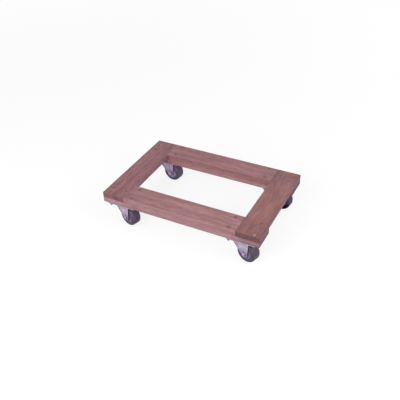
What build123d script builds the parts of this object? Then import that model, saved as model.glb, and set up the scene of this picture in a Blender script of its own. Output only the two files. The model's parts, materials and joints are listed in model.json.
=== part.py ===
from build123d import *

import os
from math import atan2, degrees, radians, tan

# A wooden dolly: an open frame of four boards, lapped at the corners, on four swivel casters.
# Millimetres. The origin is on the floor under the middle of the frame, +X runs along the rails,
# the front rail is at -Y and +Z is up.

# Deck boards
DECK_LENGTH = 609.6
DECK_WIDTH = 406.4
RAIL_WIDTH = 85.5
RAIL_THICKNESS = 41.3
END_BOARD_WIDTH = 87.0
END_BOARD_THICKNESS = 20.6
EDGE_ROUNDING = 2.0

# Casters: place of the swivel axis on the deck, the wheel's lead behind it, and the angle from +X
# at which each fork trails when the dolly stands still
CASTER_FROM_END = 69.5
CASTER_FROM_SIDE = 40.5
SWIVEL_LEAD = 19.0
REST_ANGLE = {"front_left": -18.0, "front_right": -17.0, "rear_left": -9.5, "rear_right": -6.0}

# Wheel
WHEEL_DIAMETER = 76.2
TREAD_WIDTH = 38.1
TREAD_SHOULDER = 9.5
TYRE_DEPTH = 16.0
RIM_DEPTH = 4.0
RIM_INSET = 2.0
WHEEL_WEB = 28.0
HUB_DIAMETER = 24.0
HUB_LENGTH = 40.6
HUB_SIDE_PLAY = 0.6

# Axle
AXLE_DIAMETER = 7.94
SLEEVE_DIAMETER = 12.7
SLEEVE_RUNNING_GAP = 0.06
AXLE_NUT_WIDTH = 12.7
AXLE_HEAD_HEIGHT = 5.2
AXLE_NUT_HEIGHT = 7.0
AXLE_END = 1.5

# Fork, pressed from one sheet
FORK_GAUGE = 3.0
FORK_BEND = 3.5
FORK_EDGE = 0.8
LEG_END_RADIUS = 12.0
LEG_FRONT = 34.5
LEG_FRONT_DEPTH = 15.0
LEG_HEEL = 16.0
LEG_HEEL_DEPTH = 9.0
LEG_CORNER = 8.0
RIB_WIDTH = 13.0
RIB_LENGTH = 23.0
RIB_HEIGHT = 1.6
RIB_TAPER = 35.0
RIB_AXLE_GAP = 14.0

# Swivel head: two rows of balls, one above and one below the crown of the fork
UPPER_BALL = 4.76
LOWER_BALL = 3.97
UPPER_BALL_COUNT = 12
LOWER_BALL_COUNT = 10
BALL_GAP = 0.15
BALL_ROW_STEP = 9.0
CROWN_LIP = 2.8
LIP_GAP = 0.8
SWIVEL_GAP = 0.8
RACE_GAUGE = 1.5
RACE_LIP = 3.0
RACE_SIDE_GAP = 1.5
RACE_WHEEL_GAP = 2.2
KINGPIN_DIAMETER = 10.0
KINGPIN_HEAD_GAP = 1.2
KINGPIN_TOP_GAP = 0.8

# Top plate and the bolts that hold it under the deck
PLATE_THICKNESS = 3.0
PLATE_CORNER = 9.0
PLATE_EDGE = 0.8
PLATE_EDGE_X = 9.5
PLATE_EDGE_Y = 11.1
BOLT_SPACING_X = 92.0
BOLT_SPACING_Y = 57.2
BOLT_DIAMETER = 6.35
BOLT_HEAD_DIAMETER = 13.0
BOLT_END = 4.1
BOLT_HOLE_CLEARANCE = 0.8
WASHER_DIAMETER = 15.9
WASHER_THICKNESS = 1.6
NUT_WIDTH = 11.1
NUT_HEIGHT = 7.9

# Screws that hold the end boards down on the laps, two at each corner
SCREW_DIAMETER = 4.8
SCREW_HEAD_DIAMETER = 9.5
SCREW_LENGTH = 36.0
SCREW_FROM_END = 20.0
SCREW_SPACING = 53.0

# Countersunk heads of bolts and screws
HEAD_ANGLE = 82.0
HEAD_LAND = 0.4
HEAD_RECESS = 0.8

# Wheel and fork sizes that follow
WHEEL_RADIUS = WHEEL_DIAMETER / 2
RIM_RADIUS = WHEEL_RADIUS - TYRE_DEPTH
RIM_WIDTH = TREAD_WIDTH - 2 * RIM_INSET
FORK_GAP = HUB_LENGTH + 2 * HUB_SIDE_PLAY
FORK_INSIDE = FORK_GAP / 2
FORK_OUTSIDE = FORK_INSIDE + FORK_GAUGE

# Radii of the swivel head, worked outward from the lower race that clears the legs of the fork
LOWER_TRACK = LOWER_BALL / 2 + BALL_GAP
UPPER_TRACK = UPPER_BALL / 2 + BALL_GAP
RACE_RADIUS = FORK_INSIDE - RACE_SIDE_GAP
LOWER_PITCH = RACE_RADIUS - RACE_LIP
UPPER_PITCH = LOWER_PITCH + BALL_ROW_STEP
CROWN_HOLE = LOWER_PITCH - SWIVEL_GAP
CROWN_SKIRT = LOWER_PITCH + LOWER_TRACK + SWIVEL_GAP
CROWN_RADIUS = UPPER_PITCH + UPPER_TRACK + CROWN_LIP
BOSS_RADIUS = CROWN_HOLE - SWIVEL_GAP
DISH_RADIUS = BOSS_RADIUS - PLATE_THICKNESS
KINGPIN_HEAD = DISH_RADIUS - KINGPIN_HEAD_GAP

# Heights of the swivel head, worked upward from the top of the wheel
RACE_BOTTOM = WHEEL_DIAMETER + RACE_WHEEL_GAP
RACE_FLOOR = RACE_BOTTOM + RACE_GAUGE
LOWER_BALL_HEIGHT = RACE_FLOOR + LOWER_TRACK
CROWN_BOTTOM = LOWER_BALL_HEIGHT + LOWER_TRACK
CROWN_TOP = CROWN_BOTTOM + FORK_GAUGE
UPPER_BALL_HEIGHT = CROWN_TOP + UPPER_TRACK
PLATE_BOTTOM = UPPER_BALL_HEIGHT + UPPER_TRACK
CASTER_HEIGHT = PLATE_BOTTOM + PLATE_THICKNESS
LIP_TOP = PLATE_BOTTOM - LIP_GAP
RACE_WEB_BOTTOM = CROWN_BOTTOM - RACE_GAUGE
DISH_FLOOR = CROWN_BOTTOM + PLATE_THICKNESS

# Deck heights, caster places and bolt sizes that follow
DECK_TOP = CASTER_HEIGHT + RAIL_THICKNESS
LAP_TOP = DECK_TOP - END_BOARD_THICKNESS
RAIL_Y = (DECK_WIDTH - RAIL_WIDTH) / 2
END_BOARD_X = (DECK_LENGTH - END_BOARD_WIDTH) / 2
SWIVEL_X = DECK_LENGTH / 2 - CASTER_FROM_END
SWIVEL_Y = DECK_WIDTH / 2 - CASTER_FROM_SIDE
BOLT_HOLE = BOLT_DIAMETER + BOLT_HOLE_CLEARANCE
WASHER_TOP = PLATE_BOTTOM
NUT_TOP = WASHER_TOP - WASHER_THICKNESS
BOLT_BOTTOM = NUT_TOP - NUT_HEIGHT - BOLT_END
HEAD_TOP = DECK_TOP - HEAD_RECESS
SCREW_BOTTOM = HEAD_TOP - SCREW_LENGTH
SIDES = {"left": -1, "right": 1}
ROWS = {"front": -1, "rear": 1}
CORNERS = {f"{row}_{side}": (x, y) for row, y in ROWS.items() for side, x in SIDES.items()}


def bolt_places(outboard):
    """Places of every corner's bolts on the inboard (-1) or outboard (1) side of its swivel axis."""
    x = SWIVEL_X + outboard * BOLT_SPACING_X / 2
    ends = [SWIVEL_Y + j * BOLT_SPACING_Y / 2 for j in (-1, 1)]
    return [(side * x, row * y) for side, row in CORNERS.values() for y in ends]


RAIL_BOLTS = bolt_places(-1)
END_BOARD_BOLTS = bolt_places(1)
SCREWS = [
    (side * (DECK_LENGTH / 2 - SCREW_FROM_END - i * SCREW_SPACING), row * SWIVEL_Y)
    for side, row in CORNERS.values()
    for i in (0, 1)
]


# Helpers

STANDING = (Align.CENTER, Align.CENTER, Align.MIN)


def chain(*pieces):
    """Closed face in the XZ plane from a run of points and curves, each starting where the last ended."""
    edges = []
    start = last = None
    for piece in pieces:
        is_point = isinstance(piece, tuple)
        begin, end = (piece, piece) if is_point else (tuple(piece @ 0)[:2], tuple(piece @ 1)[:2])
        if last is None:
            start = begin
        elif Vector(*last) != Vector(*begin):
            edges.append(Line(last, begin))
        if not is_point:
            edges.append(piece)
        last = end
    edges.append(Line(last, start))
    return make_face(Plane.XZ * Curve(edges))


def turned(*pieces):
    """Solid of revolution about Z from a profile of (radius, height) points and arcs."""
    return revolve(chain(*pieces), Axis.Z)


def arc(centre, radius, first, last):
    """Arc about a centre from one angle to another, in degrees."""
    return CenterArc(centre, radius, first, last - first)


def pillar(radius, bottom, top):
    """Upright cylinder between two heights."""
    return Pos(0, 0, bottom) * Cylinder(radius, top - bottom, align=STANDING)


def tube(radius, bore, bottom, top):
    """Upright tube between two heights."""
    return pillar(radius, bottom, top) - pillar(bore, bottom, top)


def block(length, width, bottom, top):
    """Upright box between two heights, centred over the origin."""
    return Pos(0, 0, bottom) * Box(length, width, top - bottom, align=STANDING)


def crosswise(shape, outer):
    """Piece made about Z, laid along the axle with its base at distance `outer` from the wheel's middle."""
    return Pos(SWIVEL_LEAD, outer, WHEEL_RADIUS) * Rot(-90, 0, 0) * shape


def ring_of_balls(diameter, count, pitch, height):
    """Balls spaced evenly round the swivel axis."""
    ball = Pos(pitch, 0, height) * Sphere(diameter / 2)
    return [Rot(0, 0, 360 * i / count) * ball for i in range(count)]


# Deck


def countersunk(diameter, head_diameter, bottom, top):
    """Flat-head fastener sunk in the deck, or its hole where `top` is above the deck."""
    shank = diameter / 2
    head = head_diameter / 2
    land = HEAD_TOP - HEAD_LAND
    neck = land - (head - shank) / tan(radians(HEAD_ANGLE / 2))
    return turned((0, bottom), (shank, bottom), (shank, neck), (head, land), (head, top), (0, top))


def placed(shape, places):
    """Copies of a shape made about Z, stood at each place."""
    return [Pos(x, y, 0) * shape for x, y in places]


def deck_bolts(places):
    """Flat-head bolts, heads sunk just below the deck."""
    return placed(countersunk(BOLT_DIAMETER, BOLT_HEAD_DIAMETER, BOLT_BOTTOM, HEAD_TOP), places)


def corner_screws():
    """Wood screws through the end boards into the laps of the rails."""
    return placed(countersunk(SCREW_DIAMETER, SCREW_HEAD_DIAMETER, SCREW_BOTTOM, HEAD_TOP), SCREWS)


def drilled(board):
    """Board with the countersunk holes of the bolts and screws that pass through it."""
    above = DECK_TOP + HEAD_RECESS
    bolt_hole = countersunk(BOLT_HOLE, BOLT_HEAD_DIAMETER, BOLT_BOTTOM, above)
    screw_hole = countersunk(SCREW_DIAMETER, SCREW_HEAD_DIAMETER, SCREW_BOTTOM, above)
    return board - placed(bolt_hole, RAIL_BOLTS + END_BOARD_BOLTS) - placed(screw_hole, SCREWS)


def board(length, width, bottom, top):
    """Planed board with softened edges, centred over the origin."""
    return fillet(block(length, width, bottom, top).edges(), EDGE_ROUNDING)


def rail(row):
    """Long board along the front or rear, each end notched from the top to take an end board."""
    blank = board(DECK_LENGTH, RAIL_WIDTH, CASTER_HEIGHT, DECK_TOP)
    notch = block(END_BOARD_WIDTH, RAIL_WIDTH, LAP_TOP, DECK_TOP)
    notches = [Pos(side * END_BOARD_X, 0, 0) * notch for side in SIDES.values()]
    return drilled(Pos(0, row * RAIL_Y, 0) * (blank - notches))


def end_board(side):
    """Cross board let into the notches of both rails, flush with their tops."""
    return drilled(Pos(side * END_BOARD_X, 0, 0) * board(END_BOARD_WIDTH, DECK_WIDTH, LAP_TOP, DECK_TOP))


def bolt_washers():
    """Plain washers under the top plates."""
    washer = tube(WASHER_DIAMETER / 2, BOLT_DIAMETER / 2, NUT_TOP, WASHER_TOP)
    return placed(washer, RAIL_BOLTS + END_BOARD_BOLTS)


def hexagon(width, height):
    """Hexagonal prism standing on Z = 0, measured across its flats."""
    return extrude(RegularPolygon(width / 2, 6, major_radius=False), height)


def nut(width, height, bore):
    """Hexagon nut standing on Z = 0."""
    return hexagon(width, height) - pillar(bore / 2, 0, height)


def bolt_nuts():
    """Lock nuts on the ends of the bolts."""
    solid = Pos(0, 0, NUT_TOP - NUT_HEIGHT) * nut(NUT_WIDTH, NUT_HEIGHT, BOLT_DIAMETER)
    return placed(solid, RAIL_BOLTS + END_BOARD_BOLTS)


# Caster pieces, each made about its own swivel axis with the fork trailing toward +X


def top_plate():
    """Bolt-on plate with the upper ball track and the kingpin's boss drawn down from its middle."""
    length = BOLT_SPACING_X + 2 * PLATE_EDGE_X
    width = BOLT_SPACING_Y + 2 * PLATE_EDGE_Y
    blank = RectangleRounded(length, width, PLATE_CORNER)
    holes = GridLocations(BOLT_SPACING_X, BOLT_SPACING_Y, 2, 2) * Circle(BOLT_HOLE / 2)
    plate = Pos(0, 0, PLATE_BOTTOM) * extrude(blank - holes, PLATE_THICKNESS)
    plate = fillet(plate.faces().sort_by(Axis.Z)[0].outer_wire().edges(), PLATE_EDGE)
    track = arc((UPPER_PITCH, UPPER_BALL_HEIGHT), UPPER_TRACK, 180, 90)
    boss = turned((0, CROWN_BOTTOM), (BOSS_RADIUS, CROWN_BOTTOM), (BOSS_RADIUS, CROWN_TOP), track,
                  (UPPER_PITCH, CASTER_HEIGHT), (0, CASTER_HEIGHT))
    dish_rim = (DISH_RADIUS + PLATE_THICKNESS, CASTER_HEIGHT)
    dish = turned((0, DISH_FLOOR), (DISH_RADIUS, DISH_FLOOR), dish_rim, (0, CASTER_HEIGHT))
    return plate + boss - dish - pillar(KINGPIN_DIAMETER / 2, CROWN_BOTTOM, CASTER_HEIGHT)


def kingpin():
    """Rivet that clamps the lower race to the top plate, with a head at each end."""
    shank = KINGPIN_DIAMETER / 2
    top = CASTER_HEIGHT - KINGPIN_TOP_GAP
    lower_head = ((shank, RACE_BOTTOM), (KINGPIN_HEAD, RACE_FLOOR), (KINGPIN_HEAD, RACE_WEB_BOTTOM))
    neck = ((shank, RACE_WEB_BOTTOM), (shank, DISH_FLOOR))
    upper_head = ((KINGPIN_HEAD, DISH_FLOOR), (KINGPIN_HEAD, PLATE_BOTTOM), (shank, top))
    return turned((0, RACE_BOTTOM), *lower_head, *neck, *upper_head, (0, top))


def lower_race():
    """Dished ring under the fork that carries the lower balls."""
    track = arc((LOWER_PITCH, LOWER_BALL_HEIGHT), LOWER_TRACK, 180, 270)
    wall = LOWER_PITCH - LOWER_TRACK
    inner = KINGPIN_DIAMETER / 2
    return turned((inner, RACE_WEB_BOTTOM), (inner, CROWN_BOTTOM), (wall, CROWN_BOTTOM), track,
                  (RACE_RADIUS, RACE_FLOOR), (RACE_RADIUS, RACE_BOTTOM), (wall, RACE_BOTTOM),
                  (wall - RACE_GAUGE, RACE_WEB_BOTTOM))


def fork_crown():
    """Round crown of the fork, with a ball track on its upper side and another under its inner edge."""
    upper = arc((UPPER_PITCH, UPPER_BALL_HEIGHT), UPPER_TRACK, 270, 360)
    lower = arc((LOWER_PITCH, LOWER_BALL_HEIGHT), LOWER_TRACK, 0, 90)
    return turned((CROWN_HOLE, CROWN_TOP), upper, (UPPER_PITCH + UPPER_TRACK, LIP_TOP),
                  (CROWN_RADIUS, LIP_TOP), (CROWN_RADIUS, CROWN_BOTTOM), (CROWN_SKIRT, CROWN_BOTTOM),
                  (CROWN_SKIRT, LOWER_BALL_HEIGHT), lower, (CROWN_HOLE, CROWN_BOTTOM))


def fork_side():
    """Side view of the fork: a broad head that tapers to a round end about the axle."""
    heel = SWIVEL_LEAD + LEG_HEEL
    front_corner = (-LEG_FRONT, CROWN_TOP - LEG_FRONT_DEPTH)
    heel_corner = (heel, CROWN_TOP - LEG_HEEL_DEPTH)
    head = Polygon((-LEG_FRONT, CROWN_TOP), front_corner, heel_corner, (heel, CROWN_TOP), align=None)
    end = Pos(SWIVEL_LEAD, WHEEL_RADIUS) * Circle(LEG_END_RADIUS)
    outline = make_hull(head.edges() + end.edges())
    top_of_end = WHEEL_RADIUS + LEG_END_RADIUS
    corners = outline.vertices().filter_by_position(Axis.Y, top_of_end, CROWN_TOP, (False, False))
    return Plane.XZ * fillet(corners, LEG_CORNER)


def fork_rib():
    """Outline of the rib pressed outward in each leg, on the line from the axle to the head's middle."""
    lean = degrees(atan2(SWIVEL_LEAD + LEG_FRONT - LEG_HEEL, 2 * (CROWN_TOP - WHEEL_RADIUS)))
    up_the_leg = Pos(SWIVEL_LEAD, WHEEL_RADIUS) * Rot(0, 0, 90 + lean)
    slot = Pos(RIB_AXLE_GAP + RIB_LENGTH / 2, 0) * SlotOverall(RIB_LENGTH, RIB_WIDTH)
    return Plane.XZ * up_the_leg * slot


def fork():
    """Pressed fork: a channel bent over the wheel, cut to its side view, under a round crown."""
    outer = Rectangle(2 * FORK_OUTSIDE, 2 * CROWN_TOP)
    inner = Rectangle(2 * FORK_INSIDE, 2 * CROWN_BOTTOM)
    channel = fillet(outer.vertices(), FORK_BEND + FORK_GAUGE) - fillet(inner.vertices(), FORK_BEND)
    sheet = extrude(Plane.YZ * channel, LEG_FRONT + SWIVEL_LEAD + LEG_HEEL, both=True)
    legs = sheet & extrude(fork_side(), FORK_OUTSIDE, both=True)
    outline = legs.faces().filter_by(Plane.XZ).edges().filter_by(Axis.X, reverse=True)
    legs = fillet(outline, FORK_EDGE)
    for side in (-1, 1):
        rib = extrude(fork_rib(), -side * RIB_HEIGHT, taper=RIB_TAPER)
        legs += Pos(0, side * FORK_OUTSIDE, 0) * rib
        legs -= Pos(0, side * FORK_INSIDE, 0) * rib
    axle_hole = crosswise(pillar(AXLE_DIAMETER / 2, -FORK_OUTSIDE, FORK_OUTSIDE), 0)
    return legs + fork_crown() - pillar(CROWN_HOLE, CROWN_BOTTOM, CROWN_TOP) - axle_hole


def axle_bolt():
    """Hexagon bolt through both legs and the sleeve."""
    head_end = -FORK_OUTSIDE - AXLE_HEAD_HEIGHT
    shank = pillar(AXLE_DIAMETER / 2, head_end, FORK_OUTSIDE + AXLE_NUT_HEIGHT + AXLE_END)
    head = Pos(0, 0, head_end) * hexagon(AXLE_NUT_WIDTH, AXLE_HEAD_HEIGHT)
    return crosswise(head + shank, 0)


def axle_nut():
    """Lock nut on the end of the axle bolt."""
    return crosswise(nut(AXLE_NUT_WIDTH, AXLE_NUT_HEIGHT, AXLE_DIAMETER), FORK_OUTSIDE)


def axle_sleeve():
    """Tube clamped between the legs, on which the wheel turns."""
    return crosswise(tube(SLEEVE_DIAMETER / 2, AXLE_DIAMETER / 2, -FORK_INSIDE, FORK_INSIDE), 0)


def wheel_hub():
    """Core of the wheel: barrel, web and rim."""
    bore = SLEEVE_DIAMETER / 2 + SLEEVE_RUNNING_GAP
    barrel = HUB_DIAMETER / 2
    floor = RIM_RADIUS - RIM_DEPTH
    half = turned((bore, 0), (bore, HUB_LENGTH / 2), (barrel, HUB_LENGTH / 2),
                  (barrel, WHEEL_WEB / 2), (floor, WHEEL_WEB / 2), (floor, RIM_WIDTH / 2),
                  (RIM_RADIUS, RIM_WIDTH / 2), (RIM_RADIUS, 0))
    return crosswise(half + mirror(half, Plane.XY), 0)


def tyre():
    """Solid tyre moulded on the rim, its sides dished to the rim's edges and its shoulders round."""
    shoulder_centre = (WHEEL_RADIUS - TREAD_SHOULDER, TREAD_WIDTH / 2 - TREAD_SHOULDER)
    shoulder = arc(shoulder_centre, TREAD_SHOULDER, 90, 0)
    half = turned((RIM_RADIUS, 0), (RIM_RADIUS, RIM_WIDTH / 2), shoulder, (WHEEL_RADIUS, 0))
    return crosswise(half + mirror(half, Plane.XY), 0)


# Assembly


def write(node, solids):
    """Write one node, a single solid or a group of equal solids."""
    shape = Compound(children=solids) if isinstance(solids, list) else solids
    export_step(shape, f"parts/{node}.step")


os.makedirs("parts", exist_ok=True)

for row, y in ROWS.items():
    write(f"{row}_rail", rail(y))
for side, x in SIDES.items():
    write(f"{side}_end_board", end_board(x))
write("rail_bolts", deck_bolts(RAIL_BOLTS))
write("end_board_bolts", deck_bolts(END_BOARD_BOLTS))
write("bolt_washers", bolt_washers())
write("bolt_nuts", bolt_nuts())
write("corner_screws", corner_screws())

FIXED_PIECES = {"top_plate": top_plate(), "kingpin": kingpin(), "lower_race": lower_race()}
SWIVEL_PIECES = {
    "fork": fork(),
    "axle_bolt": axle_bolt(),
    "axle_nut": axle_nut(),
    "axle_sleeve": axle_sleeve(),
    "wheel_hub": wheel_hub(),
    "tyre": tyre(),
}
BALL_ROWS = {
    "upper_balls": ring_of_balls(UPPER_BALL, UPPER_BALL_COUNT, UPPER_PITCH, UPPER_BALL_HEIGHT),
    "lower_balls": ring_of_balls(LOWER_BALL, LOWER_BALL_COUNT, LOWER_PITCH, LOWER_BALL_HEIGHT),
}
for corner, (side, row) in CORNERS.items():
    place = Pos(side * SWIVEL_X, row * SWIVEL_Y, 0)
    turn = place * Rot(0, 0, REST_ANGLE[corner])
    for piece, solid in FIXED_PIECES.items():
        write(f"{corner}_{piece}", place * solid)
    for piece, solid in SWIVEL_PIECES.items():
        write(f"{corner}_{piece}", turn * solid)
    for piece, balls in BALL_ROWS.items():
        write(f"{corner}_{piece}", [turn * ball for ball in balls])
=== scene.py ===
import json
import math

import bmesh
import bpy
from mathutils import Matrix, Vector


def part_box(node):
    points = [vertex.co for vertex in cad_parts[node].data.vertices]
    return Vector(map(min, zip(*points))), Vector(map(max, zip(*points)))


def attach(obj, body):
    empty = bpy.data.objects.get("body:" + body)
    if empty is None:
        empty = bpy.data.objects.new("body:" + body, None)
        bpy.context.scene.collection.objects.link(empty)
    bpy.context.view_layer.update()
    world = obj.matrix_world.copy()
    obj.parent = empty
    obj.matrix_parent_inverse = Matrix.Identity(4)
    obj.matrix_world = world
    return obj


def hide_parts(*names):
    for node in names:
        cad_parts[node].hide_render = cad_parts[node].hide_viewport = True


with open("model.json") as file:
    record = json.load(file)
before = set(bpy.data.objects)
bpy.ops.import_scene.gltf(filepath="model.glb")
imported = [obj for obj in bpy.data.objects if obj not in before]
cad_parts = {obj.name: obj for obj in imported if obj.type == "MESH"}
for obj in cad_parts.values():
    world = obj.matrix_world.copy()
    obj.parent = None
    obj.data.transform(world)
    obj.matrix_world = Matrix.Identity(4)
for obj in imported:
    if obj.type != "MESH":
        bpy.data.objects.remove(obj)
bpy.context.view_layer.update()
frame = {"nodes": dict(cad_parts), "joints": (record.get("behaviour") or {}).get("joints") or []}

# The dolly's looks: boards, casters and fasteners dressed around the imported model. Metres.

MM = 0.001
CORNERS = ("front_left", "front_right", "rear_left", "rear_right")
JOINTS = {joint["name"]: joint for joint in frame["joints"]}


# Building blocks for the finishes


def feed(tree, socket, value):
    """Link a socket to what feeds it, or set its plain value."""
    if isinstance(value, bpy.types.NodeSocket):
        tree.links.new(value, socket)
    else:
        socket.default_value = value


def add_node(tree, kind, settings=(), **sockets):
    """One node, its settings made and its sockets linked or set. A socket goes by its name, or by its
    number after an underscore."""
    made = tree.nodes.new("ShaderNode" + kind)
    for name, value in dict(settings).items():
        setattr(made, name, value)
    for name, value in sockets.items():
        feed(tree, made.inputs[int(name[1:])] if name[0] == "_" else made.inputs[name], value)
    return made


class Finish:
    """A material in the making. Each call adds to its nodes and gives back what comes out of them."""

    def __init__(self, name):
        self.material = bpy.data.materials.new(name)
        self.material.use_nodes = True
        self.tree = self.material.node_tree
        self.surface = self.tree.nodes["Principled BSDF"]
        where = self.add("TexCoord")
        self.place = where.outputs["Object"]
        self.facing = where.outputs["Normal"]

    def add(self, kind, settings=(), **sockets):
        return add_node(self.tree, kind, settings, **sockets)

    def maths(self, operation, first, second=0.0, clamp=False):
        settings = {"operation": operation, "use_clamp": clamp}
        return self.add("Math", settings, _0=first, _1=second).outputs[0]

    def plus(self, first, second, clamp=False):
        return self.maths("ADD", first, second, clamp)

    def times(self, first, second):
        return self.maths("MULTIPLY", first, second)

    def along(self, operation, first, second=(0.0, 0.0, 0.0)):
        """Vector arithmetic, component by component."""
        return self.add("VectorMath", {"operation": operation}, _0=first, _1=second).outputs[0]

    def length(self, vector):
        return self.add("VectorMath", {"operation": "LENGTH"}, _0=vector).outputs["Value"]

    def axes(self, vector):
        return self.add("SeparateXYZ", Vector=vector).outputs

    def turned(self, vector, angle):
        """A place or a direction, turned about the upright axis."""
        return self.add("Mapping", Vector=vector, Rotation=(0, 0, angle)).outputs[0]

    def noise(self, vector, scale, detail=2.0, roughness=0.5, output="Fac"):
        """Noise at one scale, or at a scale of its own along each axis."""
        if isinstance(scale, tuple):
            vector, scale = self.along("MULTIPLY", vector, scale), 1.0
        return self.add("TexNoise", Vector=vector, Scale=scale, Detail=detail,
                        Roughness=roughness).outputs[output]

    def grade(self, value, low, high, start=0.0, end=1.0, smooth=True):
        """A value carried from one range to another, with soft ends unless told otherwise."""
        kind = "SMOOTHSTEP" if smooth else "LINEAR"
        return self.add("MapRange", {"interpolation_type": kind}, _0=value, _1=low, _2=high, _3=start,
                        _4=end).outputs[0]

    def ramp(self, factor, *stops):
        made = self.add("ValToRGB", Fac=factor)
        elements = made.color_ramp.elements
        while len(elements) < len(stops):
            elements.new(1.0)
        for element, (position, colour) in zip(elements, stops):
            element.position = position
            element.color = (*colour, 1.0)
        return made.outputs["Color"]

    def mix(self, factor, first, second, blend="MIX"):
        made = self.add("Mix", {"data_type": "RGBA", "blend_type": blend})
        colours = [(*c, 1.0) if isinstance(c, tuple) else c for c in (first, second)]
        for socket, value in zip((made.inputs[0], made.inputs[6], made.inputs[7]), (factor, *colours)):
            feed(self.tree, socket, value)
        return made.outputs[2]

    def tint(self, colour, shade, share=1.0):
        """A colour multiplied by a shade, wholly or by a share."""
        return self.mix(share, colour, shade, "MULTIPLY")

    def bump(self, height, depth, strength):
        return self.add("Bump", Height=height, Distance=depth, Strength=strength).outputs[0]

    def finish(self, **sockets):
        """Feed the surface and hand over the material."""
        for name, value in sockets.items():
            feed(self.tree, self.surface.inputs[name.replace("_", " ")], value)
        return self.material


def srgb(red, green, blue):
    """A colour as a screen shows it, 0 to 255, turned to the linear values that a shader takes."""
    return tuple((c / 12.92 if c <= 0.04045 else ((c + 0.055) / 1.055) ** 2.4)
                 for c in (red / 255, green / 255, blue / 255))


def greys(*stops):
    """Stops of a ramp, each a position and a level of grey."""
    return tuple((position, (level,) * 3) for position, level in stops)


# Wood

# A scale is in turns to the metre, along the board and across it. A band is the stretch of a noise, a
# distance or a direction over which a mark comes up, and a depth is how strong it gets.
SWAY_SCALE, SWAY = (2.2, 9.0, 9.0), (0.0, 0.016, 0.016)
YEAR, YEAR_TAPER = 0.0052, 0.02
LATE_WOOD = greys((0.0, 0.55), (0.18, 0.15), (0.7, 0.45), (0.93, 1.0), (1.0, 0.55))
LATE_BAND, LATE_FACE_DEPTH, LATE_END_DEPTH = (0.2, 1.0), 0.34, 0.7
STREAK_SCALE, STREAK_BAND, STREAK_BROWN = (1.4, 44.0, 44.0), (0.26, 0.74), 0.45
STAIN_SCALE, STAIN_BAND, STAIN_DEPTH = (7.0, 26.0, 26.0), (0.42, 0.75), 0.5
FIBRE_SCALE, FIBRE_BAND, FIBRE_DEPTH = (20.0, 1300.0, 1300.0), (0.35, 0.7), 0.34
PORE_SCALE, PORE_BAND, PORE_DEPTH = (75.0, 2600.0, 2600.0), (0.58, 0.68), 0.5
PORE_YEARS, PORE_BROWN = (0.6, 0.0, 0.15, 1.0), srgb(74, 46, 46)
HUE_SCALE, HUE_SWING = (15.0, 80.0, 80.0), 0.36
MOTTLE_SCALE, MOTTLE_BAND, MOTTLING = (34.0, 120.0, 120.0), (0.2, 0.8), 0.21
LATE_RELIEF, FIBRE_RELIEF, PORE_RELIEF = 0.4, 0.7, 0.8
WOOD_RELIEF, WOOD_BUMP = 0.00035, 0.7
WOOD_ROUGH_BAND, WOOD_ROUGHNESS, WOOD_GLOSS = (0.3, 0.7), (0.5, 0.68), 0.35

FACE_ON, LOOKING_UP = (0.5, 0.95), (0.3, 0.8)
RUB_SCALE, RUB_BAND = 90.0, (0.52, 0.68)
EDGE_RUB, EDGE_RUB_DEPTH = (0.0045, 0.0008), 0.4
EDGE_SOIL, EDGE_SOIL_DEPTH = (0.0028, 0.0014), 0.3
BOLT_SOIL, BOLT_SOIL_DEPTH, BOLT_SOIL_PATCHES = (0.0125, 0.006), 0.22, (0.3, 0.6, 0.3, 1.0)
JOINT_SOIL = 0.03
END_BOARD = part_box("left_end_board")
LAP = END_BOARD[1].x - END_BOARD[0].x
SWIVEL = tuple(JOINTS["rear_right_swivel"]["pos_m"][:2])
BOLT_REACH = (0.046, 0.0286)
# The head that carries a painted highlight: the outer front bolt on the right end board
HIGHLIGHT_HEAD_PLACE = (SWIVEL[0] + BOLT_REACH[0], -SWIVEL[1] - BOLT_REACH[1])


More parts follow.
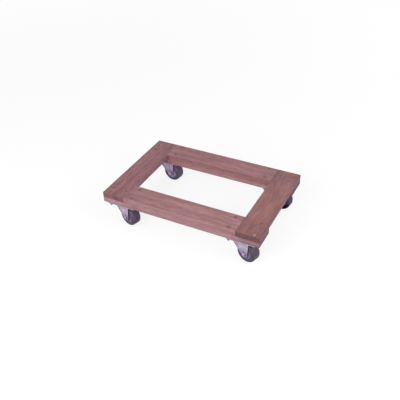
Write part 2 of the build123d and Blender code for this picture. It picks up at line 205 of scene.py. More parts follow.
def hardwood_grain(wood, lengthwise, pith, tones, on_end):
    """Colour, relief and roughness of wood cut from a log: year rings about a pith line, streaks, stains,
    fibre and open pores. The pith is a place across the board, a height and a place along the log."""
    pale, brown, dark = tones
    pith_across, pith_height, log_place = pith
    in_log = wood.along("ADD", lengthwise, (log_place, 0, 0))
    sway = wood.along("SUBTRACT", wood.noise(in_log, SWAY_SCALE, output="Color"), (0.5, 0.5, 0.5))
    grain = wood.along("ADD", in_log, wood.along("MULTIPLY", sway, SWAY))
    from_pith = wood.along("SUBTRACT", wood.along("MULTIPLY", grain, (YEAR_TAPER, 1.0, 1.0)),
                           (YEAR_TAPER * log_place, pith_across, pith_height))
    years = wood.maths("FRACT", wood.times(wood.length(from_pith), 1 / YEAR))
    late = wood.ramp(years, *LATE_WOOD)
    streak = wood.noise(grain, STREAK_SCALE, detail=4.0)
    stain = wood.noise(grain, STAIN_SCALE, detail=3.0)
    fibre = wood.noise(grain, FIBRE_SCALE, detail=4.0, roughness=0.6)
    pores = wood.times(wood.grade(wood.noise(grain, PORE_SCALE, detail=1.0), *PORE_BAND),
                       wood.grade(years, *PORE_YEARS))
    hue = wood.along("MULTIPLY", wood.noise(in_log, HUE_SCALE, detail=3.0, output="Color"), (HUE_SWING,) * 3)
    mottle = wood.noise(in_log, MOTTLE_SCALE)

    tone = wood.ramp(wood.grade(streak, *STREAK_BAND, smooth=False), (0.0, dark), (STREAK_BROWN, brown),
                     (1.0, pale))
    tone = wood.mix(wood.grade(stain, *STAIN_BAND, 0.0, STAIN_DEPTH), tone, dark)
    ring_depth = wood.grade(on_end, 0.0, 1.0, LATE_FACE_DEPTH, LATE_END_DEPTH, smooth=False)
    tone = wood.mix(wood.times(wood.grade(late, *LATE_BAND), ring_depth), tone, dark)
    tone = wood.mix(wood.grade(fibre, *FIBRE_BAND, 0.0, FIBRE_DEPTH), tone, dark)
    tone = wood.mix(wood.times(pores, PORE_DEPTH), tone, PORE_BROWN)
    tone = wood.tint(tone, wood.along("ADD", hue, (1 - HUE_SWING / 2,) * 3))
    tone = wood.tint(tone, wood.grade(mottle, *MOTTLE_BAND, 1 - MOTTLING, 1 + MOTTLING, smooth=False))

    relief = wood.plus(wood.times(late, LATE_RELIEF), wood.times(fibre, FIBRE_RELIEF))
    relief = wood.maths("SUBTRACT", relief, wood.times(pores, PORE_RELIEF))
    return tone, relief, wood.grade(fibre, *WOOD_ROUGH_BAND, *WOOD_ROUGHNESS)


def used_edges(wood, tone, centred, half_size, rub, tones):
    """Edges of a board: dirt along them all, and bare pale wood where they are rubbed."""
    pale, _, dark = tones
    inward = wood.axes(wood.along("SUBTRACT", tuple(half_size), wood.along("ABSOLUTE", centred)))
    pairs = [wood.plus(inward[a], inward[b]) for a, b in ((0, 1), (1, 2), (0, 2))]
    edge = wood.maths("MINIMUM", wood.maths("MINIMUM", pairs[0], pairs[1]), pairs[2])
    tone = wood.mix(wood.grade(edge, *EDGE_SOIL, 0.0, EDGE_SOIL_DEPTH), tone, dark)
    rubbed = wood.times(wood.grade(edge, *EDGE_RUB), wood.grade(rub, *RUB_BAND))
    return wood.mix(wood.times(rubbed, EDGE_RUB_DEPTH), tone, pale)


def bolt_soil(wood, tone, on_top, rub):
    """Dark soil in patches on the top round each bolt, placed from the swivels."""
    from_swivel = wood.along("SUBTRACT", wood.along("ABSOLUTE", wood.place), (*SWIVEL, 0.0))
    from_bolt = wood.along("SUBTRACT", wood.along("ABSOLUTE", from_swivel), (*BOLT_REACH, 0.0))
    from_bolt = wood.length(wood.along("MULTIPLY", from_bolt, (1.0, 1.0, 0.0)))
    soil = wood.times(wood.grade(from_bolt, *BOLT_SOIL), wood.grade(rub, *BOLT_SOIL_PATCHES))
    return wood.mix(wood.times(soil, wood.times(on_top, BOLT_SOIL_DEPTH)), tone, PORE_BROWN)


def near_tip(wood, length, tip, start, full):
    """Nought to one along a board, between two distances from one of its tips."""
    return wood.grade(length, *(tip - math.copysign(inward, tip) for inward in (start, full)))


def board_wood(name, node, cross, pith, tones, end_shade, flank, drift, slant, tips, fade, joints=()):
    """Planed hardwood: darker on the end grain, with painted light and shade up its flanks, graded along it,
    across it and towards its tips, soiled beside the joints and round the bolts, and rubbed along the edges."""
    low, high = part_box(node)
    half_size = (high - low) / 2
    lengthways, sideways = (1, 0) if cross else (0, 1)
    ends = (-half_size[lengthways], half_size[lengthways])
    wood = Finish(name)
    centred = wood.along("SUBTRACT", wood.place, tuple((low + high) / 2))
    lengthwise = wood.turned(centred, math.radians(-90 if cross else 0))
    length, breadth, _ = wood.axes(lengthwise)
    facing = wood.axes(wood.facing)
    on_end = wood.grade(wood.maths("ABSOLUTE", facing[lengthways]), *FACE_ON)
    on_side = wood.grade(wood.maths("ABSOLUTE", facing[sideways]), *FACE_ON)
    on_top = wood.grade(facing[2], *LOOKING_UP)
    rub = wood.noise(wood.place, RUB_SCALE, detail=3.0)

    tone, relief, rough = hardwood_grain(wood, lengthwise, pith, tones, on_end)
    tone = used_edges(wood, tone, centred, half_size, rub, tones)
    tone = wood.tint(tone, end_shade, on_end)
    rise = wood.grade(wood.axes(wood.place)[2], low.z, high.z, smooth=False)
    # Painted light and shade: the flank faces tinted from their foot to their top, standing in for how the
    # lamps and floor light them
    tone = wood.tint(tone, wood.mix(rise, *flank), on_side)
    for way, extent, fading in ((length, ends[1], drift), (breadth, half_size[sideways], slant)):
        tone = wood.tint(tone, wood.grade(way, -extent, extent, *fading, smooth=False))
    for shade, tip in zip(tips, ends):
        tone = wood.tint(tone, shade, near_tip(wood, length, tip, *fade))
    for shade, tip in zip(joints, ends):
        soil = wood.times(near_tip(wood, length, tip, LAP + JOINT_SOIL, LAP), on_top)
        tone = wood.tint(tone, shade, soil)
    tone = bolt_soil(wood, tone, on_top, rub)
    return wood.finish(Base_Color=tone, Roughness=rough, Normal=wood.bump(relief, WOOD_RELIEF, WOOD_BUMP),
                       Specular_IOR_Level=WOOD_GLOSS)


# Plated steel. Heights are above the floor

ZINC_SHADE = (0.76, 0.75, 0.77)
CLOUD_SCALE, CLOUD_BAND = 160.0, (0.35, 0.7)
ROLLED_SCALE, ROLLED_BAND, ROLLED_DEPTH = (900.0, 900.0, 40.0), (0.4, 0.75), 0.25
GRIT_SCALE, GRIT_ROUGHNESS = 900.0, 0.05
PLATING_ROUGH_BAND, PLATING_SMOOTHER, PLATING_ROUGHER = (0.3, 0.7), 0.06, 0.08
ROLLED_RELIEF, PLATING_RELIEF, PLATING_BUMP = 0.5, 0.00006, 0.35
# Zinc for below the deck, and the colour of the painted highlight on one head
BOLT_ZINC, BOLT_PAINTED_HIGHLIGHT, BOLT_ROUGHNESS = srgb(152, 134, 146), srgb(177, 137, 132), 0.46
ZINC_BELOW = (0.104, 0.097)
HEAD_ABOVE, HEAD_WITHIN = (0.12, 0.13), (0.012, 0.009)
FORK_LOW, FORK_HIGH = 0.026, 0.095
# Fork colour by height: painted shade under the plate and deck at the top of the legs, brightest part way
# down, and darker towards the bottom.
FORK_TONES = ((0.0, srgb(154, 138, 168)), (0.28, srgb(168, 152, 182)), (0.48, srgb(192, 177, 202)),
              (0.64, srgb(200, 187, 207)), (0.8, srgb(173, 158, 181)), (1.0, srgb(160, 144, 168)))
FORK_CLOUD_SCALE, FORK_CLOUD_RISE = 70.0, 0.02
# Painted light along the trail: shade at the legs' leading end and a painted highlight behind it, standing in
# for the light on the pressing's bend.
FORK_LEAD, FORK_TAIL = -0.042, 0.014
FORK_PAINTED_SWEEP = greys((0.0, 0.6), (0.12, 0.66), (0.4, 0.98), (0.54, 1.0), (0.68, 0.88), (0.85, 0.96))
# Painted shade on the inside faces of the fork legs, between the legs and the wheel, with its band and depth
FORK_INSIDE_SHADE, INSIDE_BAND, INSIDE_DEPTH = srgb(92, 82, 98), (-0.3, -0.8), 0.75
FORK_ROUGHNESS = 0.42
# Painted shade for each corner's fork as a whole, deepest on the rear left, which sits in the deck's shade
FORK_CORNER_SHADE = {"front_left": (1.01, 0.96, 0.99), "front_right": (0.99, 0.98, 0.98),
                "rear_left": (0.8, 0.7, 0.8), "rear_right": (0.88, 0.84, 0.88)}


def plated(steel, colour, shade, roughness):
    """Zinc plating over a colour: faint clouding and rolling marks under a soft sheen."""
    cloud = steel.noise(steel.place, CLOUD_SCALE, detail=4.0, roughness=0.6)
    rolled = steel.noise(steel.place, ROLLED_SCALE)
    grit = steel.noise(steel.place, GRIT_SCALE)
    dull = steel.plus(steel.grade(cloud, *CLOUD_BAND), steel.grade(rolled, *ROLLED_BAND, 0.0, ROLLED_DEPTH),
                      clamp=True)
    rough = steel.grade(cloud, *PLATING_ROUGH_BAND, roughness - PLATING_SMOOTHER, roughness + PLATING_ROUGHER)
    relief = steel.plus(grit, steel.times(rolled, ROLLED_RELIEF))
    return steel.finish(Base_Color=steel.tint(colour, shade, dull), Metallic=1.0,
                        Roughness=steel.plus(rough, steel.times(grit, GRIT_ROUGHNESS)),
                        Normal=steel.bump(relief, PLATING_RELIEF, PLATING_BUMP))


def zinc(name, tone, roughness):
    """Plain zinc of one tone."""
    return plated(Finish(name), tone, ZINC_SHADE, roughness)


def fastener_steel(name, tone, shade, highlight_head=None):
    """Soiled bolt steel above the deck's underside, zinc below it. One head can carry a painted highlight."""
    steel = Finish(name)
    height = steel.axes(steel.place)[2]
    colour = steel.mix(steel.grade(height, *ZINC_BELOW), tone, BOLT_ZINC)
    if highlight_head:
        in_plan = steel.along("MULTIPLY", steel.place, (1.0, 1.0, 0.0))
        away = steel.length(steel.along("SUBTRACT", in_plan, (*highlight_head, 0.0)))
        # Painted highlight: a bright patch on the top of one head
        head = steel.times(steel.grade(away, *HEAD_WITHIN), steel.grade(height, *HEAD_ABOVE))
        colour = steel.mix(head, colour, BOLT_PAINTED_HIGHLIGHT)
    return plated(steel, colour, shade, BOLT_ROUGHNESS)


def wheel_turn(corner):
    """How far a wheel's axle is turned from the dolly's width."""
    axle = JOINTS[f"{corner}_roll"]["axis"]
    return math.atan2(-axle[0], axle[1])


def in_wheel(skin, corner):
    """Place on a wheel: along the trail, along the axle and up, from the wheel's middle."""
    middle = tuple(JOINTS[f"{corner}_roll"]["pos_m"])
    return skin.turned(skin.along("SUBTRACT", skin.place, middle), -wheel_turn(corner))


def fork_zinc(corner, corner_shade):
    """Bright zinc on a pressed fork, darker towards the bottom of the legs, with painted shade under the
    plate at their top, at their leading end and on their inside, and a painted highlight along their middle."""
    steel = Finish(f"{corner}_fork_zinc")
    cloud = steel.maths("SUBTRACT", steel.noise(steel.place, FORK_CLOUD_SCALE, detail=3.0), 0.5)
    height = steel.plus(steel.axes(steel.place)[2], steel.times(cloud, FORK_CLOUD_RISE))
    # Colour by height, with painted shade at the top of the legs
    colour = steel.ramp(steel.grade(height, FORK_LOW, FORK_HIGH, smooth=False), *FORK_TONES)
    trail, across_wheel, _ = steel.axes(in_wheel(steel, corner))
    # Painted shade and highlight along the trail
    painted_sweep = steel.ramp(steel.grade(trail, FORK_LEAD, FORK_TAIL, smooth=False), *FORK_PAINTED_SWEEP)
    colour = steel.tint(colour, painted_sweep)
    facing_across = steel.axes(steel.turned(steel.facing, -wheel_turn(corner)))[1]
    facing_out = steel.times(steel.maths("SIGN", across_wheel), facing_across)
    # Painted shade on the inside of the legs
    colour = steel.mix(steel.grade(facing_out, *INSIDE_BAND, 0.0, INSIDE_DEPTH), colour, FORK_INSIDE_SHADE)
    # The whole fork scaled by its corner's painted shade
    return plated(steel, steel.tint(colour, corner_shade), ZINC_SHADE, FORK_ROUGHNESS)


# Rubber and plastic. Radii and heights are from the wheel's middle

PATCH_BAND, ROUGH_BAND = (0.35, 0.75), (0.3, 0.7)
RUBBER_DARK, RUBBER_PALE, RUBBER_DUST = srgb(68, 56, 75), srgb(82, 70, 90), srgb(112, 98, 116)
RUBBER_PATCH_SCALE, RUBBER_GRIT_SCALE, SCUFF_SCALE = 60.0, 1400.0, (260.0, 620.0, 260.0)
SCUFF_BAND, SCUFF_DEPTHS, SCUFF_RELIEF = (0.42, 0.72), (0.06, 0.42), 0.6
SIDE_TO_TREAD = (0.0345, 0.0378)
# Heights over which the painted shade on the sides and on the tread changes
SIDE_HEIGHTS, TREAD_HEIGHTS = (-0.014, 0.001), (-0.034, 0.016)
TYRE_RINGS, RINGS_WITHIN, TYRE_RING_RELIEF = 0.0011, (0.036, 0.033), 0.35
TYRE_ROUGHNESS, TYRE_RELIEF, TYRE_BUMP = (0.42, 0.6), 0.00012, 0.5
# Per corner: dust is an overall tone that also carries painted light, lifting the rear left most; gloss is
# the specular level; sides and tread are tones by height, from the floor up to under the deck, that carry
# painted shade: darker at the top of the front right tread and near black low on the rear right's sides.
TYRE_LOOKS = {
    "front_left": dict(dust=1.36, gloss=0.3, sides=(0.68, 0.76), tread=(0.9, 1.04)),
    "front_right": dict(dust=1.26, gloss=0.3, sides=(0.78, 0.68), tread=(1.24, 0.82)),
    "rear_left": dict(dust=2.05, gloss=0.3, sides=(0.8, 0.8), tread=(1.0, 1.0)),
    "rear_right": dict(dust=1.5, gloss=0.05, sides=(0.03, 0.94), tread=(1.0, 1.0)),
}
HUB_DARK, HUB_PALE = srgb(112, 99, 124), srgb(130, 117, 142)
HUB_DUST_SCALE, HUB_GRIT_SCALE = 90.0, 1200.0
HUB_RINGS, HUB_RING_RELIEF = 0.0009, 0.25
HUB_ROUGHNESS, HUB_RELIEF, HUB_BUMP, HUB_GLOSS = (0.42, 0.58), 0.0001, 0.4, 0.4
# Painted light and shade for each corner's hub as a whole, lifting the rear left far above the others
HUB_PAINTED_LIGHT_AND_SHADE = {"front_left": 0.78, "front_right": 0.88, "rear_left": 2.4, "rear_right": 1.0}


def from_axle(skin, place):
    return skin.length(skin.along("MULTIPLY", place, (1.0, 0.0, 1.0)))


def turned_rings(skin, radius, spacing):
    """Fine rings about the axle, between minus one and one."""
    return skin.maths("SINE", skin.times(radius, 2 * math.pi / spacing))


def tyre_rubber(corner, dust, gloss, sides, tread):
    """Hard dark rubber: moulding rings on the sides and a scuffed tread, a tone for each corner that carries
    painted light, and painted light and shade by height on the sides and the tread, up to under the deck."""
    skin = Finish(f"{corner}_tyre_rubber")
    place = in_wheel(skin, corner)
    height = skin.axes(place)[2]
    radius = from_axle(skin, place)
    patch = skin.noise(place, RUBBER_PATCH_SCALE, detail=5.0, roughness=0.6)
    grit = skin.noise(place, RUBBER_GRIT_SCALE)
    scuff = skin.noise(place, SCUFF_SCALE, detail=5.0, roughness=0.65)
    colour = skin.mix(skin.grade(patch, *PATCH_BAND), RUBBER_DARK, RUBBER_PALE)
    worn = skin.times(skin.grade(radius, *SIDE_TO_TREAD), skin.grade(scuff, *SCUFF_BAND, *SCUFF_DEPTHS))
    # dust scales the whole tyre, a tone that also carries painted light for each corner
    colour = skin.tint(skin.mix(worn, colour, RUBBER_DUST), (dust,) * 3)
    # Painted light and shade by height, one ramp for the sides and one for the tread
    shade = skin.grade(radius, *SIDE_TO_TREAD, skin.grade(height, *SIDE_HEIGHTS, *sides),
                       skin.grade(height, *TREAD_HEIGHTS, *tread))
    rings = skin.times(turned_rings(skin, radius, TYRE_RINGS),
                       skin.grade(radius, *RINGS_WITHIN, 0.0, TYRE_RING_RELIEF))
    relief = skin.plus(skin.plus(grit, rings), skin.times(scuff, SCUFF_RELIEF))
    return skin.finish(Base_Color=skin.tint(colour, shade),
                       Roughness=skin.grade(patch, *ROUGH_BAND, *TYRE_ROUGHNESS),
                       Normal=skin.bump(relief, TYRE_RELIEF, TYRE_BUMP), Specular_IOR_Level=gloss)


def hub_grey(corner, fading):
    """Grey moulded hub, with faint turning marks and dust, scaled as a whole by painted light and shade."""
    skin = Finish(f"{corner}_hub_grey")
    place = in_wheel(skin, corner)
    dust = skin.noise(place, HUB_DUST_SCALE, detail=5.0, roughness=0.6)
    grit = skin.noise(place, HUB_GRIT_SCALE)
    rings = turned_rings(skin, from_axle(skin, place), HUB_RINGS)
    colour = skin.mix(skin.grade(dust, *PATCH_BAND), HUB_DARK, HUB_PALE)
    relief = skin.plus(grit, skin.times(rings, HUB_RING_RELIEF))
    # fading is painted light and shade for the whole hub
    return skin.finish(Base_Color=skin.tint(colour, (fading,) * 3),
                       Roughness=skin.grade(dust, *ROUGH_BAND, *HUB_ROUGHNESS),
                       Normal=skin.bump(relief, HUB_RELIEF, HUB_BUMP), Specular_IOR_Level=HUB_GLOSS)


# Finish of each node

# flank is painted light and shade on the side faces, one tint at their foot and one at their top: painted
# light from the floor low on the rear rail with painted shade under the deck at its top, and painted light
# that lifts the other boards' side faces.
BOARDS = {
    "front_rail": dict(cross=False, pith=(0.012, -0.075, 3.1), end_shade=(0.7, 0.67, 0.77),
                       flank=((0.97, 1.11, 1.16), (1.1, 1.12, 1.13)), drift=(0.88, 1.04), slant=(0.93, 1.06),
                       tips=((1.07, 1.18, 1.25), (0.7, 0.71, 0.75)), fade=(0.085, 0.06),
                       joints=((0.84, 0.81, 0.77), (1.0, 1.0, 1.0)),
                       tones=(srgb(182, 136, 138), srgb(168, 122, 124), srgb(139, 98, 99))),
    "rear_rail": dict(cross=False, pith=(-0.02, 0.09, 7.7), end_shade=(0.42, 0.43, 0.48),
                      flank=((1.35, 1.54, 1.47), (0.71, 0.62, 0.58)), drift=(0.99, 0.98), slant=(0.94, 1.02),
                      tips=((0.95, 0.97, 1.0), (1.0, 1.0, 1.0)), fade=(0.11, 0.055),
                      tones=(srgb(181, 132, 136), srgb(163, 115, 119), srgb(132, 89, 93))),
    "left_end_board": dict(cross=True, pith=(0.03, -0.06, 12.4), end_shade=(0.72, 0.64, 0.72),
                           flank=((1.1, 1.36, 1.46), (1.14, 1.38, 1.48)), drift=(1.0, 0.99), slant=(1.0, 1.0),
                           tips=((1.0, 1.0, 1.0), (0.97, 0.98, 1.0)), fade=(0.11, 0.055),
                           tones=(srgb(169, 118, 122), srgb(150, 103, 107), srgb(106, 69, 74))),
    "right_end_board": dict(cross=True, pith=(-0.015, -0.08, 18.9), end_shade=(0.64, 0.6, 0.63),
                            flank=((1.08, 1.16, 1.5), (1.08, 1.17, 1.5)), drift=(1.0, 0.95), slant=(1.0, 1.0),
                            tips=((0.82, 0.82, 0.84), (0.83, 0.85, 0.9)), fade=(0.11, 0.055),
                            tones=(srgb(171, 118, 116), srgb(152, 103, 102), srgb(107, 70, 70))),
}
WOODS = {node: board_wood(f"{node}_wood", node, **looks) for node, looks in BOARDS.items()}
PLATE_ZINC = zinc("plate_zinc", srgb(186, 175, 194), roughness=0.36)
POLISHED_STEEL = zinc("polished_steel", srgb(214, 210, 216), roughness=0.14)
AXLE_ZINC = zinc("axle_zinc", srgb(172, 160, 180), roughness=0.38)
NUT_STEEL = zinc("dull_nut_zinc", srgb(126, 105, 114), roughness=0.44)
DARK_STEEL = fastener_steel("dark_bolt_steel", srgb(153, 113, 117), shade=(0.62, 0.6, 0.62))
DULL_STEEL = fastener_steel("dull_bolt_steel", srgb(157, 111, 113), shade=(0.7, 0.7, 0.7),
                            highlight_head=HIGHLIGHT_HEAD_PLACE)

CASTER_FINISHES = {
    "top_plate": PLATE_ZINC, "kingpin": PLATE_ZINC, "lower_race": PLATE_ZINC,
    "axle_bolt": AXLE_ZINC, "axle_nut": AXLE_ZINC, "axle_sleeve": AXLE_ZINC,
    "upper_balls": POLISHED_STEEL, "lower_balls": POLISHED_STEEL,
}
FINISHES = {
    **WOODS,
    "rail_bolts": DARK_STEEL, "end_board_bolts": DULL_STEEL, "corner_screws": DULL_STEEL,
    "bolt_washers": NUT_STEEL, "bolt_nuts": NUT_STEEL,
    **{f"{corner}_{piece}": finish for corner in CORNERS for piece, finish in CASTER_FINISHES.items()},
    **{f"{corner}_fork": fork_zinc(corner, FORK_CORNER_SHADE[corner]) for corner in CORNERS},
    **{f"{corner}_tyre": tyre_rubber(corner, **TYRE_LOOKS[corner]) for corner in CORNERS},
    **{f"{corner}_wheel_hub": hub_grey(corner, HUB_PAINTED_LIGHT_AND_SHADE[corner]) for corner in CORNERS},
}
for name, finish in FINISHES.items():
    node = frame["nodes"][name]
    node.data.materials.clear()
    node.data.materials.append(finish)


# Modelling by hand: turned blanks, boolean cuts, threads. Sizes are in millimetres

MERGED = 0.001
GOLDEN_TURN = math.radians(137.5)
CROSS_TAPER = 0.42
CREST_SHARE, ROOT_SHARE, THREAD_STEPS = 0.06, 0.43, 20
SHARP_ANGLE = 32.0


def clear_selection():
    """Object mode, with nothing selected."""
    if bpy.context.object and bpy.context.object.mode != "OBJECT":
        bpy.ops.object.mode_set(mode="OBJECT")
    bpy.ops.object.select_all(action="DESELECT")


def select_only(piece):
    clear_selection()
    bpy.context.view_layer.objects.active = piece
    piece.select_set(True)


def pick(piece, kind, test):
    """Select, in edit mode, only the faces or points that pass a test."""
    bpy.ops.mesh.select_mode(type={"faces": "FACE", "verts": "VERT"}[kind])
    bpy.ops.mesh.select_all(action="DESELECT")
    mesh = bmesh.from_edit_mesh(piece.data)
    for item in getattr(mesh, kind):
        item.select_set(test(item))
    mesh.select_flush_mode()
    bmesh.update_edit_mesh(piece.data)


def outward(piece):
    """Leave edit mode with doubles merged and every face pointing out."""
    bpy.ops.mesh.select_all(action="SELECT")
    bpy.ops.mesh.remove_doubles(threshold=MERGED * MM)
    bpy.ops.mesh.normals_make_consistent(inside=False)
    bpy.ops.object.mode_set(mode="OBJECT")
    return piece


def draw_up(sides, steps, hollow=False, turn=0.0):
    """Turned blank about Z, drawn up from a disc, or a ring, through steps of a radius and a height."""
    clear_selection()
    radius, height = steps[0]
    bpy.ops.mesh.primitive_circle_add(vertices=sides, radius=radius * MM, location=(0, 0, height * MM),
                                      rotation=(0, 0, turn), fill_type="NOTHING" if hollow else "NGON")
    piece = bpy.context.object
    bpy.ops.object.transform_apply(location=True)
    bpy.ops.object.mode_set(mode="EDIT")
    for (r0, z0), (r1, z1) in zip(steps, steps[1:]):
        bpy.ops.mesh.extrude_region_move(TRANSFORM_OT_translate={"value": (0, 0, (z1 - z0) * MM)})
        bpy.ops.transform.resize(value=(r1 / r0, r1 / r0, 1), center_override=(0, 0, z1 * MM))
    return outward(piece)


def work(piece, tool, operation="DIFFERENCE"):
    """Cut, join or intersect a piece with a tool, which is used up."""
    select_only(piece)
    boolean = piece.modifiers.new("work", "BOOLEAN")
    boolean.operation = operation
    boolean.solver = "EXACT"
    boolean.object = tool
    bpy.ops.object.modifier_apply(modifier=boolean.name)
    bpy.data.objects.remove(tool)
    bpy.ops.object.mode_set(mode="EDIT")
    return outward(piece)


def driver_cross(span, width, depth, top):
    """Tapered cross that cuts a driver recess into a head."""
    clear_selection()
    bpy.ops.mesh.primitive_cube_add(size=width * MM, location=(0, 0, top * MM))
    tool = bpy.context.object
    bpy.ops.object.transform_apply(location=True)
    bpy.ops.object.mode_set(mode="EDIT")
    bpy.ops.transform.resize(value=(1, 1, 2 * depth / width), center_override=(0, 0, top * MM))
    pick(tool, "faces", lambda face: abs(face.normal.z) < 0.5)
    bpy.ops.mesh.extrude_faces_move(TRANSFORM_OT_shrink_fatten={"value": (span - width) / 2 * MM})
    pick(tool, "verts", lambda vertex: vertex.co.z < top * MM)
    bpy.ops.transform.resize(value=(CROSS_TAPER, CROSS_TAPER, 1), center_override=(0, 0, (top - depth) * MM))
    return outward(tool)


def thread(root, crest, pitch, bottom, turns, steps=THREAD_STEPS):
    """Helical ridge: a small profile carried round and up by the Screw modifier, its two ends closed."""
    clear_selection()
    bpy.ops.mesh.primitive_plane_add(size=1.0, rotation=(math.radians(90), 0, 0))
    ridge = bpy.context.object
    bpy.ops.object.transform_apply(rotation=True)
    for vertex in ridge.data.vertices:
        outer = vertex.co.x > 0
        half = math.copysign(CREST_SHARE if outer else ROOT_SHARE, vertex.co.z)
        vertex.co = Vector((crest if outer else root, 0, bottom + pitch * (0.5 + half))) * MM
    screw = ridge.modifiers.new("thread", "SCREW")
    screw.axis = "Z"
    screw.screw_offset = pitch * MM
    screw.iterations = turns
    screw.steps = screw.render_steps = steps
    bpy.ops.object.modifier_apply(modifier=screw.name)
    bpy.ops.object.mode_set(mode="EDIT")
    bpy.ops.mesh.select_all(action="SELECT")
    bpy.ops.mesh.fill_holes(sides=0)
    return outward(ridge)


def smooth(piece, angle=SHARP_ANGLE):
    """Shade a piece smooth, but for edges that turn by more than an angle."""
    select_only(piece)
    bpy.ops.object.shade_smooth_by_angle(angle=math.radians(angle))
    return piece


def set_out(name, pattern, places):
    """Copies of a pattern piece at each place, given as a matrix, joined under one name."""
    copies = []
    for place in places:
        copy = pattern.copy()
        copy.data = pattern.data.copy()
        copy.data.transform(place)
        bpy.context.scene.collection.objects.link(copy)
        copies.append(copy)
    clear_selection()
    for copy in copies:
        copy.select_set(True)
    bpy.context.view_layer.objects.active = copies[0]
    bpy.ops.object.join()
    copies[0].name = copies[0].data.name = name
    return copies[0]


def dress(piece, body, node):
    """Give a finished piece its body and the finish of the node that it stands for, and hide that node."""
    piece.data.materials.clear()
    piece.data.materials.append(FINISHES[node])
    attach(piece, body)
    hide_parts(node)


# Fasteners, in millimetres. Places and heights come from the nodes that they stand for

BOLTS_TO_A_NODE, SCREWS, NUTS = 8, 8, 16
OVERLAP, OVERCUT = 1.0, 0.1
ROUND_SIDES = 32
HEAD_ANGLE, HEAD_LAND = 82.0, 0.4
THREAD_RUN_OUT, THREAD_BED = 0.5, 0.1
BOLT_HEAD, BOLT_SHANK, BOLT_ROOT = 6.5, 3.17, 2.62
BOLT_POINT_INSET, BOLT_POINT = 0.5, 0.6
BOLT_PITCH, BOLT_THREAD, BOLT_THREAD_ROOM = 1.27, 13, 1.5
BOLT_RIM, BOLT_LIP_INSET, BOLT_LIP = 0.1, 0.2, 0.15
BOLT_CROSS = (6.8, 1.5, 2.8)
SCREW_HEAD, SCREW_SHANK, SCREW_ROOT, SCREW_SIDES = 4.75, 2.38, 1.7, 24
SCREW_TIP, SCREW_POINT = 0.15, 5.0
SCREW_PITCH, SCREW_THREAD, SCREW_THREAD_START, SCREW_THREAD_STEPS = 2.2, 9, 3.5, 16
SCREW_RUN_OUT, SCREW_LIP_INSET, SCREW_LIP = 0.8, 0.15, 0.1
SCREW_CROSS = (5.2, 1.2, 2.2)
FLAT_SHARE, CORNER_SHARE, CORNER_ANGLE, CORNER_SIDES = 0.48, 0.62, 30.0, 60
NUT_FLATS, NUT_LEAD = 11.1, 0.5
COLLAR_SHARE, COLLAR_HEIGHT, COLLAR_SIDES = 0.464, 2.2, 48
COLLAR_EASE = ((0.0, 0.9), (0.4, 0.25), (1.0, 0.0))


def neck_below(land, head, shank):
    """Height at which a countersunk head meets its shank."""
    return land - (head - shank) / math.tan(math.radians(HEAD_ANGLE / 2))


def flat_head_bolt(bottom, top):
    """Flat-head bolt with a driver cross and a rolled thread at its end."""
    land = top - HEAD_LAND
    thread_low = bottom + BOLT_POINT
    thread_top = bottom + BOLT_PITCH * (BOLT_THREAD + BOLT_THREAD_ROOM)
    blank = draw_up(ROUND_SIDES, [
        (BOLT_ROOT - BOLT_POINT_INSET, bottom), (BOLT_ROOT, thread_low), (BOLT_ROOT, thread_top),
        (BOLT_SHANK, thread_top + THREAD_RUN_OUT), (BOLT_SHANK, neck_below(land, BOLT_HEAD, BOLT_SHANK)),
        (BOLT_HEAD - BOLT_RIM, land), (BOLT_HEAD, land + BOLT_RIM),
        (BOLT_HEAD, top - BOLT_LIP), (BOLT_HEAD - BOLT_LIP_INSET, top)])
    work(blank, driver_cross(*BOLT_CROSS, top))
    ridge = thread(BOLT_ROOT - THREAD_BED, BOLT_SHANK, BOLT_PITCH, thread_low, BOLT_THREAD)
    return work(blank, ridge, "UNION")


def wood_screw(bottom, top):
    """Countersunk wood screw with a driver cross, a coarse thread and a point."""
    land = top - HEAD_LAND
    thread_low = bottom + SCREW_THREAD_START
    thread_top = thread_low + SCREW_PITCH * SCREW_THREAD + THREAD_RUN_OUT
    blank = draw_up(SCREW_SIDES, [
        (SCREW_TIP, bottom), (SCREW_ROOT, bottom + SCREW_POINT), (SCREW_ROOT, thread_top),
        (SCREW_SHANK, thread_top + SCREW_RUN_OUT), (SCREW_SHANK, neck_below(land, SCREW_HEAD, SCREW_SHANK)),
        (SCREW_HEAD, land), (SCREW_HEAD, top - SCREW_LIP), (SCREW_HEAD - SCREW_LIP_INSET, top)])
    work(blank, driver_cross(*SCREW_CROSS, top))
    ridge = thread(SCREW_ROOT - THREAD_BED, SCREW_SHANK, SCREW_PITCH, thread_low, SCREW_THREAD,
                   SCREW_THREAD_STEPS)
    return work(blank, ridge, "UNION")


def hexagon(width, bottom, top, ends):
    """Hexagon prism with its corners turned down to the flats at the chosen ends. The prism starts too
    long, and the turned tool stands half a step round, so that no faces or edges of the two coincide."""
    clear_selection()
    bpy.ops.mesh.primitive_cylinder_add(vertices=6, radius=width / math.sqrt(3) * MM,
                                        depth=(top - bottom + 2 * OVERLAP) * MM,
                                        location=(0, 0, (bottom + top) / 2 * MM))
    prism = bpy.context.object
    bpy.ops.object.transform_apply(location=True)
    flat, corner = FLAT_SHARE * width, CORNER_SHARE * width
    slope = (corner - flat) * math.tan(math.radians(CORNER_ANGLE))
    low = [(flat, bottom), (corner, bottom + slope)] if "bottom" in ends else [(corner, bottom)]
    high = [(corner, top - slope), (flat, top)] if "top" in ends else [(corner, top)]
    return work(prism, draw_up(CORNER_SIDES, low + high, turn=math.pi / CORNER_SIDES), "INTERSECT")


def bored(piece, radius, bottom, top):
    """Hole through a nut, its mouths countersunk."""
    mouth = radius + NUT_LEAD + OVERCUT
    drill = draw_up(ROUND_SIDES, [(mouth, bottom - OVERCUT), (radius, bottom + NUT_LEAD),
                                  (radius, top - NUT_LEAD), (mouth, top + OVERCUT)])
    return work(piece, drill)


